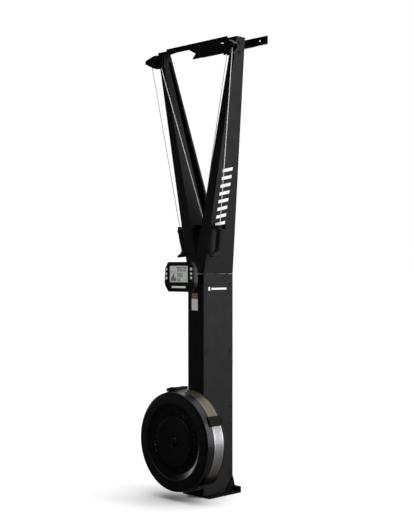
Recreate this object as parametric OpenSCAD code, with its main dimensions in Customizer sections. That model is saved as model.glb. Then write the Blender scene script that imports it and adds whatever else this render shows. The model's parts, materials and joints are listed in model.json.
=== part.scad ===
// Upright ski trainer: a wall-braced column with two leaning arms, an air brake at its foot,
// two handles on cords that run over pulleys at the arm tops, and a console.
// +X is the machine's right, -Y faces the user, +Z is up. Millimetres.

/* [Stand] */
// Width of the base plate
base_w = 180; // [160:2:240]
// Depth of the base plate, front to back
base_d = 210; // [206:2:260]
// Thickness of the base plate
base_t = 8; // [6:1:12]
// Width of the lower column
col_w = 106; // [104:1:120]
// Depth of the lower column, front to back
col_d = 193; // [190:1:200]
// Height of the joint between the column and the arms
seam_z = 1043; // [1030:1:1060]
// Sheet thickness of the column and the arms
sheet_t = 2.5; // [2:0.5:3]

/* [Arms] */
// Height of the arm tops
arm_top_z = 2112; // [2090:1:2130]
// Outward lean of an arm's outer face, sideways per unit of height
outer_lean = 0.198; // [0.19:0.001:0.205]
// Outward lean of an arm's inner face
inner_lean = 0.2346; // [0.23:0.001:0.24]
// Height where the two arms part
crotch_z = 1113; // [1105:1:1120]
// Forward lean of an arm's rear face
rear_lean = 0.13; // [0.12:0.005:0.135]

/* [Air brake] */
// Height of the flywheel axis
fan_z = 272; // [262:1:300]
// Outer radius of the perforated band
band_r = 234; // [225:1:240]
// Width of the perforated band
band_w = 56; // [50:1:62]
// Radius of the fan wheel
wheel_r = 204; // [180:2:210]
// Number of fan blades
blade_count = 24; // [12:2:30]

/* [Cords] */
// Thickness of the handle cord
cord_d = 3.5; // [3:0.5:4]
// Groove radius of the pulleys at the arm tops
top_groove_r = 20; // [18:0.5:21]
// Groove radius of the guide pulleys and of the cord drums
guide_groove_r = 23; // [21:0.5:24]
// Height of the guide pulleys
guide_z = 1250; // [1240:1:1262]

/* [Console] */
// Width of the console
console_w = 197; // [180:1:210]
// Height of the console
console_h = 138; // [130:1:146]
// Depth of the console
console_d = 37; // [32:1:42]
// Height of the console's centre
console_z = 1029; // [1020:1:1040]

/* [Hidden] */

$fn = 64;
eps = 0.01;
cut = 40; // how far cutting bodies reach past what they cut
big = 3000;

col_front = -base_d/2 - 2;
col_rear = col_front + col_d;
half_w = col_w/2;

function outer_x(z) = half_w + outer_lean*(z - seam_z);
function inner_x(z) = max(0, inner_lean*(z - crotch_z));
function arm_rear(z) = col_rear - rear_lean*(z - seam_z);

// Holes and screws that join the column's panels
screw_front_y = col_front + 13;
screw_rear_y = col_front + 173;
screw_zs = [94, 412, 677, 994];
screw_hole_r = 2.6;

module ring(r_out, r_in, h) {
  difference() {
    cylinder(r = r_out, h = h);
    translate([0, 0, -1]) cylinder(r = r_in, h = h + 2);
  }
}

// A cylinder lying along +Y from y = 0
module y_cylinder(r, h) {
  rotate([-90, 0, 0]) cylinder(r = r, h = h);
}

// A cylinder lying along +X from x = 0
module x_cylinder(r, h) {
  rotate([0, 90, 0]) cylinder(r = r, h = h);
}

module box(low, high) {
  translate(low) cube(high - low);
}

module both_sides() {
  children();
  mirror([1, 0, 0]) children();
}

// Sweeps a round tube along a route of points; the rings stay square to the route
function unit(v) = v/norm(v);
function tube_dir(p, i) =
  i == 0 ? unit(p[1] - p[0]) :
  i == len(p) - 1 ? unit(p[i] - p[i - 1]) :
  unit(unit(p[i + 1] - p[i]) + unit(p[i] - p[i - 1]));
module tube(route, r, sides = 8) {
  side_ref = [0, 1, 0];
  rings = [for (i = [0:len(route) - 1])
    let (d = tube_dir(route, i), u = unit(cross(side_ref, d)), w = cross(d, u))
    [for (k = [0:sides - 1]) route[i] + r*cos(360*k/sides)*u + r*sin(360*k/sides)*w]];
  points = [for (one_ring = rings) each one_ring];
  last = (len(route) - 1)*sides;
  walls = [for (i = [0:len(route) - 2], k = [0:sides - 1])
    let (a = i*sides + k, b = i*sides + (k + 1) % sides)
    [a, a + sides, b + sides, b]];
  caps = [[for (k = [0:sides - 1]) k], [for (k = [sides - 1:-1:0]) last + k]];
  polyhedron(points = points, faces = concat(walls, caps), convexity = 10);
}

function arc(centre, r, from, to, steps) =
  [for (i = [0:steps]) let (a = from + (to - from)*i/steps) centre + r*[cos(a), sin(a)]];

// ---------------------------------------------------------------- stand

foot_hole_x = 74;
foot_hole_y = 86;
foot_hole_r = 5.5;
rear_flange_h = 30;
rear_flange_t = 5;
level_x = 80;
level_y = base_d/2 - 14;
level_r = 5;
level_l = 24;
level_nut_r = 8.5;
level_nut_h = 6;
level_knob_r = 8;
level_knob_h = 7;

module base_plate() {
  color("#202022") difference() {
    union() {
      box([-base_w/2, -base_d/2, 0], [base_w/2, base_d/2, base_t]);
      box([-base_w/2, base_d/2 - rear_flange_t, 0], [base_w/2, base_d/2, rear_flange_h]);
    }
    for (x = [-foot_hole_x, foot_hole_x])
      translate([x, -foot_hole_y, -1]) cylinder(r = foot_hole_r, h = base_t + 2);
    for (x = [-level_x, level_x])
      translate([x, level_y, -1]) cylinder(r = level_r, h = base_t + 2);
  }
}

gusset_t = 5;
gusset_h = 68;
gusset_front = col_rear - 54;
gusset_tail_h = 14;

// A triangular brace beside the column, standing on the base plate
module base_gussets() {
  color("#161618") both_sides()
    translate([half_w, 0, base_t]) rotate([90, 0, 90]) linear_extrude(gusset_t)
      polygon([[gusset_front, 0], [base_d/2 - rear_flange_t, 0],
               [base_d/2 - rear_flange_t, gusset_tail_h], [col_rear - 2, gusset_h]]);
}

module levelling_screws() {
  color("#303033") both_sides() translate([level_x, level_y, 0]) {
    cylinder(r = level_r, h = level_l);
    translate([0, 0, base_t]) cylinder(r = level_nut_r, h = level_nut_h, $fn = 6);
    translate([0, 0, level_l - 2]) cylinder(r = level_knob_r, h = level_knob_h);
  }
}

screw_l = 9;
module screw_holes(side) {
  for (z = screw_zs, y = [screw_front_y, screw_rear_y])
    translate([side*half_w - screw_l, y, z]) x_cylinder(screw_hole_r, 2*screw_l);
}

module side_plate(side) {
  color("#383838") difference() {
    box([side > 0 ? half_w - sheet_t : -half_w, col_front, base_t],
        [side > 0 ? half_w : -half_w + sheet_t, col_rear, seam_z - 1]);
    screw_holes(side);
  }
}

module left_side_plate() { side_plate(-1); }
module right_side_plate() { side_plate(1); }

cover_flange = 26;
axle_hole_r = 24;
mount_bolt_x = 34;
mount_bolt_z = 60;

// A channel that closes one side of the column between the two side plates
module cover(front) {
  y_out = front ? col_front : col_rear - sheet_t;
  y_flange = front ? col_front : col_rear - cover_flange;
  x_out = half_w - sheet_t;
  difference() {
    union() {
      box([-x_out, y_out, base_t], [x_out, y_out + sheet_t, seam_z - 1]);
      both_sides() box([x_out - sheet_t, y_flange, base_t],
                       [x_out, y_flange + cover_flange, seam_z - 1]);
    }
    for (side = [-1, 1]) screw_holes(side);
  }
}

module front_cover() {
  color("#141416") difference() {
    cover(true);
    translate([0, col_front - 1, fan_z]) y_cylinder(axle_hole_r, sheet_t + 2);
    for (x = [-mount_bolt_x, mount_bolt_x], z = [-mount_bolt_z, mount_bolt_z])
      translate([x, col_front - 1, fan_z + z]) y_cylinder(frame_bolt_r, sheet_t + 2);
  }
}

module rear_cover() {
  color("#141416") cover(false);
}

screw_head_r = 5;
screw_head_h = 2;

module column_screws() {
  color("#0c0c0d") both_sides()
    for (z = screw_zs, y = [screw_front_y, screw_rear_y]) translate([half_w, y, z]) {
      x_cylinder(screw_head_r, screw_head_h);
      translate([-screw_l, 0, 0]) x_cylinder(screw_hole_r, screw_l + eps);
    }
}

// ---------------------------------------------------------------- arms

// Where each drive cord runs down inside the arms and the column
front_cord_y = -66;
rear_cord_y = -46;
cord_path_gap = 0.25;
guide_path_r = guide_groove_r + cord_d/2 + cord_path_gap;
front_drum_cord_y = -75;
rear_drum_cord_y = -31;

flange_t = 5;
flange_bolt_x = 38;
frame_bolt_r = 4;
frame_bolt_l = 21.5;
frame_bolt_head_r = 6.5;
frame_bolt_head_h = 5;
frame_nut_h = 6;
flange_bolt_ys = [col_front + 24, col_rear - 24];

// The drive cords pass down through one long slot on each side
cord_slot_half = 6;
cord_slot_low = [guide_path_r - cord_slot_half, front_cord_y - 12];
cord_slot_high = [guide_path_r + cord_slot_half, rear_cord_y + 12];

module cord_slot() {
  box([cord_slot_low[0], cord_slot_low[1], seam_z - 20],
      [cord_slot_high[0], cord_slot_high[1], seam_z + 10]);
}

// The plate inside the column's top that the arms stand on
module top_flange() {
  color("#2a2a2c") difference() {
    box([-half_w + 2*sheet_t, col_front + sheet_t, seam_z - 1 - flange_t],
        [half_w - 2*sheet_t, col_rear - sheet_t, seam_z - 1]);
    both_sides() cord_slot();
    for (x = [-flange_bolt_x, flange_bolt_x], y = flange_bolt_ys)
      translate([x, y, seam_z - cut/2]) cylinder(r = frame_bolt_r, h = cut);
  }
}

// The foot of both arms, which the bolts pull down on the flange
foot_plate_t = 4;

module arm_envelope(inset) {
  intersection() {
    translate([0, big/2, 0]) rotate([90, 0, 0]) linear_extrude(big)
      polygon([[inset, seam_z - (inset > 0 ? 5 : 0)],
               [half_w - inset, seam_z - (inset > 0 ? 5 : 0)],
               [half_w - inset, seam_z],
               [outer_x(arm_top_z - inset) - inset, arm_top_z - inset],
               [inner_x(arm_top_z - inset) + inset, arm_top_z - inset],
               [inset, crotch_z]]);
    translate([-big/2, 0, 0]) rotate([90, 0, 90]) linear_extrude(big)
      polygon([[col_front + inset, seam_z - 10], [arm_rear(seam_z - 10) - inset, seam_z - 10],
               [arm_rear(arm_top_z) - inset, arm_top_z], [col_front + inset, arm_top_z]]);
  }
}

arm_bolt_spots = [[col_front + 23, 2088], [col_front + 30, 2049]];
arm_bolt_r = 4;
arm_bolt_l = 6;
arm_bolt_head_r = 6.5;
arm_bolt_head_h = 3;

// Where a drive cord enters its arm, beside the guide pulley
cord_window_low = guide_z - 60;
cord_window_high = guide_z - 2;
cord_window_half = 7;

// A long opening in each arm's inner face, behind the drive cord's path
opening_low = 1300;
opening_high = arm_top_z - 40;
opening_front = 62;
opening_rear = 12;

module inner_opening() {
  intersection() {
    translate([0, big/2, 0]) rotate([90, 0, 0]) linear_extrude(big)
      polygon([[inner_x(opening_low) - cut, opening_low],
               [inner_x(opening_low) + 2*sheet_t, opening_low],
               [inner_x(opening_high) + 2*sheet_t, opening_high],
               [inner_x(opening_high) - cut, opening_high]]);
    translate([-big/2, 0, 0]) rotate([90, 0, 90]) linear_extrude(big)
      polygon([[arm_rear(opening_low) - opening_front, opening_low],
               [arm_rear(opening_low) - opening_rear, opening_low],
               [arm_rear(opening_high) - opening_rear, opening_high],
               [arm_rear(opening_high) - opening_front*0.45, opening_high]]);
  }
}

// Turns +X square to the arm's leaning outer face
module at_arm_face(spot) {
  translate([outer_x(spot[1]), spot[0], spot[1]]) rotate([0, atan(outer_lean), 0]) children();
}

// The right arm: a folded sheet box, open below, with a foot plate and a window for one cord
module arm(cord_y) {
  difference() {
    union() {
      difference() {
        arm_envelope(0);
        arm_envelope(sheet_t);
      }
      difference() {
        box([eps, col_front + eps, seam_z], [half_w - eps, col_rear - eps, seam_z + foot_plate_t]);
        cord_slot();
      }
    }
    for (y = flange_bolt_ys)
      translate([flange_bolt_x, y, seam_z - 1]) cylinder(r = frame_bolt_r, h = 10);
    box([guide_path_r - 13, cord_y - cord_window_half, cord_window_low],
        [guide_path_r + 9, cord_y + cord_window_half, cord_window_high]);
    inner_opening();
    for (spot = arm_bolt_spots) at_arm_face(spot) translate([-10, 0, 0]) x_cylinder(arm_bolt_r, 20);
  }
}

module right_arm() {
  color("#2f2f31") arm(front_cord_y);
}

module left_arm() {
  color("#2f2f31") mirror([1, 0, 0]) arm(rear_cord_y);
}

// A bolt pointing down from its seat at z = 0, with a nut below the stack that it clamps
module bolt_and_nut(stack) {
  translate([0, 0, -frame_bolt_l]) cylinder(r = frame_bolt_r, h = frame_bolt_l + eps);
  cylinder(r = frame_bolt_head_r, h = frame_bolt_head_h, $fn = 6);
  translate([0, 0, -stack - frame_nut_h]) cylinder(r = frame_bolt_head_r, h = frame_nut_h, $fn = 6);
}

// Eight equal bolts: four pull the arms down on the flange, four hold the air brake
module frame_bolts() {
  color("#3a3a3c") {
    both_sides() for (y = flange_bolt_ys)
      translate([flange_bolt_x, y, seam_z + foot_plate_t]) bolt_and_nut(foot_plate_t + 1 + flange_t);
    at_fan() for (x = [-mount_bolt_x, mount_bolt_x], z = [-mount_bolt_z, mount_bolt_z])
      translate([x, z, rear_h + shell_t])
        bolt_and_nut(rear_h + shell_t + sheet_t + housing_flange_t);
  }
}

module arm_bolts() {
  color("#2c2c2e") both_sides() for (spot = arm_bolt_spots) at_arm_face(spot) {
    translate([-arm_bolt_l, 0, 0]) x_cylinder(arm_bolt_r, arm_bolt_l + eps);
    x_cylinder(arm_bolt_head_r, arm_bolt_head_h);
  }
}

// ---------------------------------------------------------------- top plate and wall bar

wall_y = col_front + 225;
bar_t = 5;
bar_z = arm_top_z + 3;
bar_h = 39;
bar_half = 250;
bar_hole_x = 203.2;
bar_hole_r = 5.5;
plate_t = 4;
lip_h = 13;
strip_d = 46;
waist_x = 95;
tail_x = 178;
tail_flange_h = 30;
bar_bolt_xs = [-120, -50, 50, 120];
bar_bolt_r = 4;
bar_bolt_head_r = 7;
bar_bolt_head_h = 4;
bar_bolt_z = bar_z + bar_h/2 - 4;
bar_hole_z = bar_z + bar_h/2 + 2;
bar_corner_w = 35;
bar_corner_z = bar_z + 5;
plate_half = outer_x(arm_top_z);
pad_d = 58;
pad_w = 34;
pad_end = 84;
lip_end = 60;

// The plate across the arm tops, with a tail that reaches back to the wall bar
module top_plate() {
  tail_y = wall_y - bar_t;
  color("#1d1d1f") difference() {
    union() {
      translate([0, 0, arm_top_z]) linear_extrude(plate_t)
        polygon([[-plate_half, col_front], [plate_half, col_front],
                 [plate_half, col_front + pad_d], [plate_half - pad_w, col_front + pad_d],
                 [plate_half - pad_end, col_front + strip_d], [waist_x, col_front + strip_d],
                 [tail_x, tail_y], [-tail_x, tail_y], [-waist_x, col_front + strip_d],
                 [-plate_half + pad_end, col_front + strip_d], [-plate_half + pad_w, col_front + pad_d],
                 [-plate_half, col_front + pad_d]]);
      box([-plate_half + lip_end, col_front, arm_top_z],
          [plate_half - lip_end, col_front + plate_t, arm_top_z + lip_h]);
      box([-tail_x, tail_y - plate_t, arm_top_z], [tail_x, tail_y, arm_top_z + tail_flange_h]);
    }
    for (x = bar_bolt_xs)
      translate([x, tail_y - cut/2, bar_bolt_z]) y_cylinder(bar_bolt_r, cut);
  }
}

// A flat bar for the wall screws; its left end has the upper corner cut away
module wall_bar() {
  color("#1a1a1c") difference() {
    box([-bar_half, wall_y - bar_t, bar_z], [bar_half, wall_y, bar_z + bar_h]);
    translate([0, wall_y + 5, 0]) rotate([90, 0, 0]) linear_extrude(20)
      polygon([[-bar_half - 1, bar_corner_z], [-bar_half + bar_corner_w, bar_z + bar_h + 1],
               [-bar_half - 1, bar_z + bar_h + 1]]);
    for (x = [-bar_hole_x, bar_hole_x])
      translate([x, wall_y - cut/2, bar_hole_z]) y_cylinder(bar_hole_r, cut);
    for (x = bar_bolt_xs)
      translate([x, wall_y - cut/2, bar_bolt_z]) y_cylinder(bar_bolt_r, cut);
  }
}

module wall_bar_bolts() {
  color("#4a4a4c") for (x = bar_bolt_xs)
    translate([x, wall_y - bar_t - plate_t - bar_bolt_head_h, bar_bolt_z]) {
      y_cylinder(bar_bolt_head_r, bar_bolt_head_h);
      y_cylinder(bar_bolt_r, bar_bolt_head_h + plate_t + bar_t);
    }
}

label_left = -28;
label_w = 41;
label_low = 871;
label_h = 81;
label_t = 0.8;

module label_plate() {
  color("#b8b2ac") box([label_left, col_front - label_t, label_low],
                       [label_left + label_w, col_front, label_low + label_h]);
}

// ---------------------------------------------------------------- guide pulleys

guide_rim_r = guide_groove_r + 5;
pulley_w = 14;
guide_axle_r = 5;
running_gap = 0.05;
guide_plate_t = 4;
guide_plate_half = 24;
guide_front_y = front_cord_y - pulley_w/2 - 2;
guide_rear_y = rear_cord_y + pulley_w/2 + 2;
axle_head_r = 8;
axle_head_h = 4;

// A grooved wheel centred on z = 0, with six round holes through its web
module pulley(rim_r, groove_r, width, bore_r) {
  half = width/2;
  rim_w = 2;
  seat_half = 1.8;
  flank_half = 3;
  flank_r = groove_r + 2.5;
  web_hole_r = (groove_r - bore_r)/5;
  web_hole_at = (groove_r + bore_r)/2 + 1;
  difference() {
    rotate_extrude() polygon([
      [bore_r, -half], [rim_r, -half], [rim_r, -half + rim_w], [flank_r, -flank_half],
      [groove_r, -seat_half], [groove_r, seat_half], [flank_r, flank_half],
      [rim_r, half - rim_w], [rim_r, half], [bore_r, half]]);
    for (a = [0:60:300]) rotate([0, 0, a]) translate([web_hole_at, 0, -half - 1])
      cylinder(r = web_hole_r, h = width + 2);
  }
}

module guide_pulley(y) {
  translate([0, y, guide_z]) rotate([-90, 0, 0])
    pulley(guide_rim_r, guide_groove_r, pulley_w, guide_axle_r + running_gap);
}

module front_guide_pulley() {
  color("#3b3b3d") guide_pulley(front_cord_y);
}

module rear_guide_pulley() {
  color("#3b3b3d") guide_pulley(rear_cord_y);
}

// Two plates that fill the notch between the arms and hold the guide axle
module guide_plates() {
  low = guide_z - guide_plate_half;
  high = guide_z + guide_plate_half;
  color("#1c1c1e") difference() {
    for (y = [guide_front_y, guide_rear_y + guide_plate_t])
      translate([0, y, 0]) rotate([90, 0, 0]) linear_extrude(guide_plate_t)
        polygon([[-inner_x(low), low], [inner_x(low), low],
                 [inner_x(high), high], [-inner_x(high), high]]);
    translate([0, guide_front_y - cut, guide_z]) y_cylinder(guide_axle_r, 3*cut);
  }
}

module guide_axle() {
  between_heads = guide_rear_y - guide_front_y + 2*guide_plate_t;
  color("#3a3a3c") translate([0, guide_front_y - guide_plate_t - axle_head_h, guide_z]) {
    y_cylinder(guide_axle_r, between_heads + 2*axle_head_h);
    y_cylinder(axle_head_r, axle_head_h);
    translate([0, between_heads + axle_head_h, 0]) y_cylinder(axle_head_r, axle_head_h);
  }
}

// ---------------------------------------------------------------- pulleys at the arm tops

top_x = 252;
top_y = col_front - 29;
top_z = 2064;
top_turn = -18;
top_rim_r = top_groove_r + 6;
top_axle_r = 5;
top_path_r = top_groove_r + cord_d/2 + cord_path_gap;
nose_r = 31;
nose_back = 4;
nose_tip_r = 14;
nose_tip_x = 37;
strap_t = 2.5;
cheek_t = 3;
cheek_gap = pulley_w + 2;
foot_inner_x = outer_x(top_z) - 30;
foot_outer_x = outer_x(top_z);
foot_depth = 20;

// Places things in the top pulley's own frame: x outward, z along its axle towards the wall
module at_top_pulley() {
  translate([top_x, top_y, top_z]) rotate([0, 0, top_turn]) rotate([-90, 0, 0]) children();
}

module right_top_pulley_body() {
  at_top_pulley() pulley(top_rim_r, top_groove_r, pulley_w, top_axle_r + running_gap);
}

// A bullet shape: straight behind the pulley, tapering to a round tip
module nose_outline(inset) {
  big_r = nose_r - inset;
  tip_r = nose_tip_r - inset;
  taper = acos((big_r - tip_r)/(nose_tip_x + nose_back));
  touch = [cos(taper), sin(taper)];
  back = [-nose_back, 0];
  tip = [nose_tip_x, 0];
  translate(back) circle(r = big_r);
  translate(tip) circle(r = tip_r);
  polygon([back + big_r*touch, tip + tip_r*touch,
           tip + tip_r*[touch[0], -touch[1]], back + big_r*[touch[0], -touch[1]]]);
  translate([-44, -big_r]) square([44 - nose_back, 2*big_r]);
}

// Two cheeks with a round nose, a strap over the top and a foot against the arm;
// open below, and cut away in front, where the handle's cord swings
module pulley_housing() {
  difference() {
    at_top_pulley() difference() {
      union() {
        for (z = [-cheek_gap/2 - cheek_t, cheek_gap/2]) translate([0, 0, z])
          linear_extrude(cheek_t) nose_outline(0);
        translate([0, 0, -cheek_gap/2 - eps]) linear_extrude(cheek_gap + 2*eps) difference() {
          nose_outline(0);
          nose_outline(strap_t);
          translate([-60, -4]) square([200, 60]);
          translate([-60, -nose_r - 1]) square([34, 70]);
        }
      }
      translate([0, 0, -40]) cylinder(r = top_axle_r, h = 80);
      translate([17, 10, -cheek_gap/2 - cheek_t - 1]) cube([30, 40, cheek_t + 2]);
    }
    box([outer_x(arm_top_z) - 200, col_front, arm_top_z - 200],
        [outer_x(arm_top_z) + 60, col_front + 60, arm_top_z + 60]);
  }
  difference() {
    box([foot_inner_x, col_front - foot_depth, top_z - 28],
        [foot_outer_x, col_front, top_z + 28]);
    at_top_pulley() translate([-100, -100, -200]) cube([200, 200, 200 + cheek_gap/2 + cheek_t/2]);
    at_top_pulley() translate([0, 0, -40]) cylinder(r = 10, h = 80);
  }
}

module pulley_axle() {
  at_top_pulley() {
    translate([0, 0, -cheek_gap/2 - cheek_t - 4]) cylinder(r = 8.5, h = 4);
    translate([0, 0, -cheek_gap/2 - cheek_t - 1]) cylinder(r = top_axle_r, h = cheek_gap + 2*cheek_t + 4);
    translate([0, 0, cheek_gap/2 + cheek_t]) cylinder(r = 8, h = 3, $fn = 6);
  }
}

module right_top_pulley() { color("#404042") right_top_pulley_body(); }
module left_top_pulley() { color("#404042") mirror([1, 0, 0]) right_top_pulley_body(); }
module right_pulley_housing() { color("#101012") pulley_housing(); }
module left_pulley_housing() { color("#101012") mirror([1, 0, 0]) pulley_housing(); }
module top_pulley_axles() { color("#8a8a8c") both_sides() pulley_axle(); }

// ---------------------------------------------------------------- air brake

// Fan parts are turned profiles [radius, height], with the height counted forward
// from the column's front
shell_t = 3;
rear_h = 5;
band_rear_h = 53;
band_front_h = band_rear_h + band_w;
band_t = 1.5;
face_h = 150;
rear_round_r = 36;
front_round_r = 18;
rim_r = 222;
dish_r = 174;
slope_r = 150;
disc_r = 116;
dish_h = 134;
hub_hole_r = 40;
slot_count = 60;
slot_w = 5;
slot_margin = 5;

module at_fan() {
  translate([0, col_front, fan_z]) rotate([90, 0, 0]) children();
}

module fan_rear_cover() {
  round_centre = [band_r - rear_round_r - 4, rear_h + rear_round_r];
  outer = concat([[hub_hole_r, rear_h], [band_r - 46, rear_h]],
                 arc(round_centre, rear_round_r, -80, -10, 7),
                 [[band_r - band_t, band_rear_h]]);
  inner = concat([[band_r - band_t - shell_t, band_rear_h]],
                 arc(round_centre, rear_round_r - shell_t, -10, -80, 7),
                 [[band_r - 46, rear_h + shell_t], [hub_hole_r, rear_h + shell_t]]);
  color("#131315") difference() {
    union() {
      at_fan() rotate_extrude() polygon(concat(outer, inner));
      at_fan() ring(hub_hole_r + 40, hub_hole_r, rear_h + shell_t);
    }
    for (x = [-mount_bolt_x, mount_bolt_x], z = [-mount_bolt_z, mount_bolt_z])
      translate([x, col_front - cut, fan_z + z]) y_cylinder(frame_bolt_r, cut + 10);
  }
}

module perforated_band() {
  color("#c9c6be") at_fan() translate([0, 0, band_rear_h]) ring(band_r, band_r - band_t, band_w);
}

// The front shell: a rounded rim, a flat face, a slope and a sunk ring of radial air slots
module fan_front_cover() {
  skirt_r = band_r - band_t;
  edge_r = 4;
  seat_r = disc_r - 30;
  outer = concat([[skirt_r, band_front_h], [skirt_r, band_front_h + 8]],
                 arc([rim_r - 8, face_h - front_round_r], front_round_r, 40, 90, 6),
                 [[dish_r + edge_r, face_h]],
                 arc([dish_r + edge_r, face_h - edge_r], edge_r, 90, 180, 4),
                 [[slope_r, dish_h], [seat_r, dish_h]]);
  inner = [[seat_r, dish_h - shell_t], [slope_r + 1, dish_h - shell_t],
           [dish_r + shell_t, face_h - edge_r - shell_t], [dish_r + shell_t + 3, face_h - shell_t],
           [rim_r - 8, face_h - shell_t],
           [rim_r + 3, face_h - 14], [skirt_r - shell_t, band_front_h + 6],
           [skirt_r - shell_t, band_front_h]];
  color("#0f0f10") at_fan() difference() {
    rotate_extrude() polygon(concat(outer, inner));
    for (i = [0:slot_count - 1]) rotate([0, 0, 360*i/slot_count])
      translate([disc_r + slot_margin, -slot_w/2, dish_h - 10])
        cube([slope_r - disc_r - 2*slot_margin, slot_w, 20]);
  }
}

disc_edge_h = 4;
disc_round_r = 6;
boss_ring_r = 30;
boss_r = 19;
boss_h = 12;

// A shallow domed disc with a groove round its centre boss
module fan_centre_disc() {
  color("#131314") at_fan() translate([0, 0, dish_h]) rotate_extrude()
    polygon(concat([[0, 0], [disc_r, 0], [disc_r, disc_edge_h]],
                   arc([disc_r - disc_round_r, disc_edge_h], disc_round_r, 0, 90, 4),
                   [[boss_ring_r, boss_h - 3], [boss_ring_r - 3, boss_h - 6],
                    [boss_r + 3, boss_h - 6], [boss_r, boss_h - 1], [0, boss_h]]));
}

// Each clip's angle, thickness and width; the top one is larger
clips = [[100, 14, 60], [28, 6, 46], [-44, 6, 46], [-116, 6, 46], [172, 6, 46]];
clip_end = 12;
clip_screw_r = 2.5;
clip_screw_head_r = 4.5;
clip_screw_head_h = 2.5;
clip_screw_hs = [band_rear_h - clip_end/2, band_front_h + clip_end/2];

module on_band(angle) {
  rotate([0, 0, angle]) children();
}

// Five straps over the band tie the front shell to the rear one
module band_clips() {
  color("#101012") at_fan() for (clip = clips) on_band(clip[0]) difference() {
    intersection() {
      translate([0, 0, band_rear_h - clip_end])
        ring(band_r + clip[1], band_r + 0.02, band_w + 2*clip_end);
      translate([band_r - cut, -clip[2]/2, band_rear_h - cut]) cube([2*cut, clip[2], band_w + 2*cut]);
    }
    for (h = clip_screw_hs) translate([band_r - 5, 0, h]) x_cylinder(clip_screw_r, 30);
  }
}

module clip_screws() {
  color("#4c4c4e") at_fan() for (clip = clips, h = clip_screw_hs)
    on_band(clip[0]) translate([band_r + clip[1], 0, h]) {
      x_cylinder(clip_screw_head_r, clip_screw_head_h);
      translate([-clip[1] - 1.2, 0, 0]) x_cylinder(clip_screw_r, clip[1] + 1.2 + eps);
    }
}

// ---------------------------------------------------------------- rotating train

axle_r = 8.5;
axle_front_h = 132;
axle_rear_y = 24;
hub_r = 34;
disc_h = 48;
disc_t = 6;

module flywheel() {
  color("#7c7d80") at_fan() {
    translate([0, 0, disc_h]) ring(wheel_r, axle_r, disc_t);
    translate([0, 0, disc_h + disc_t - eps]) ring(hub_r, axle_r, 50);
  }
}

blade_root_r = 112;
blade_t = 2.5;
blade_front_h = 128;

module fan_blades() {
  blade_h = blade_front_h - disc_h - disc_t;
  color("#2c2c2e") at_fan() translate([0, 0, disc_h + disc_t]) {
    ring(blade_root_r + 3, blade_root_r, blade_h);
    for (i = [0:blade_count - 1]) rotate([0, 0, 360*i/blade_count])
      translate([blade_root_r + 1, -blade_t/2, 0])
        cube([wheel_r - blade_root_r - 3, blade_t, blade_h]);
    ring(blade_root_r + 2, hub_r - eps, 3);
  }
}

module axle() {
  color("#b4b4b6") {
    translate([0, col_front - axle_front_h, fan_z])
      y_cylinder(axle_r, axle_front_h + axle_rear_y - col_front);
    translate([0, axle_rear_y - 3, fan_z]) y_cylinder(13, 9);
  }
}

bearing_r = 20;
bearing_w = 12;
housing_flange_t = 5;
front_bearing_y = col_front + sheet_t + 1;
rear_bearing_y = 4;

// A round flanged block behind the column's front cover
module bearing_housing() {
  color("#4b4c4f") difference() {
    translate([0, col_front + sheet_t, fan_z]) union() {
      y_cylinder(bearing_r + 8, bearing_w + 1);
      translate([-mount_bolt_x - 9, 0, -mount_bolt_z - 10])
        cube([2*mount_bolt_x + 18, housing_flange_t, 2*mount_bolt_z + 20]);
    }
    translate([0, col_front - 5, fan_z]) y_cylinder(bearing_r, 60);
    for (x = [-mount_bolt_x, mount_bolt_x], z = [-mount_bolt_z, mount_bolt_z])
      translate([x, col_front - 5, fan_z + z]) y_cylinder(frame_bolt_r, 40);
  }
}

// A folded plate across the column that carries the axle's rear bearing
module bearing_plate() {
  inside = half_w - 2*sheet_t - 0.5;
  color("#55565a") difference() {
    union() {
      box([-inside, rear_bearing_y, fan_z - 55], [inside, rear_bearing_y + bearing_w, fan_z + 55]);
      both_sides() box([inside - 3, rear_bearing_y, fan_z - 55],
                       [inside, rear_bearing_y + 58, fan_z + 55]);
    }
    translate([0, rear_bearing_y - 5, fan_z]) y_cylinder(bearing_r, 60);
  }
}

module bearings() {
  color("#d0d0d2") for (y = [front_bearing_y, rear_bearing_y])
    translate([0, y, fan_z]) rotate([-90, 0, 0]) ring(bearing_r, axle_r + running_gap, bearing_w);
}

// ---------------------------------------------------------------- cord drums

clutch_r = 13;
drum_flange_r = 32;
return_groove_r = 16;
return_d = 5;
return_r = return_groove_r + return_d/2 + cord_path_gap;
front_drum_y = -90;
rear_drum_y = -45;
drum_w = 40;
flange_w = 2;
cord_groove_end = 24;
return_groove_end = 38;
drum_end_r = 24;
return_offset = 32;

// A two-step spool: a wide groove for the handle cord, a narrow one for the return cord
module drum(y) {
  translate([0, y, fan_z]) rotate([-90, 0, 0]) rotate_extrude() polygon([
    [clutch_r, 0], [drum_flange_r, 0], [drum_flange_r, flange_w], [guide_groove_r, flange_w],
    [guide_groove_r, cord_groove_end], [drum_flange_r, cord_groove_end],
    [drum_flange_r, cord_groove_end + flange_w], [return_groove_r, cord_groove_end + flange_w],
    [return_groove_r, return_groove_end], [drum_end_r, return_groove_end],
    [drum_end_r, drum_w], [clutch_r, drum_w]]);
}

module clutch(y) {
  translate([0, y + 3, fan_z]) rotate([-90, 0, 0])
    ring(clutch_r, axle_r + running_gap, drum_w - 6);
}

module left_drum() { color("#8f8f92") drum(front_drum_y); }
module right_drum() { color("#8f8f92") drum(rear_drum_y); }
module left_clutch() { color("#c4c4c6") clutch(front_drum_y); }
module right_clutch() { color("#c4c4c6") clutch(rear_drum_y); }

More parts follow.
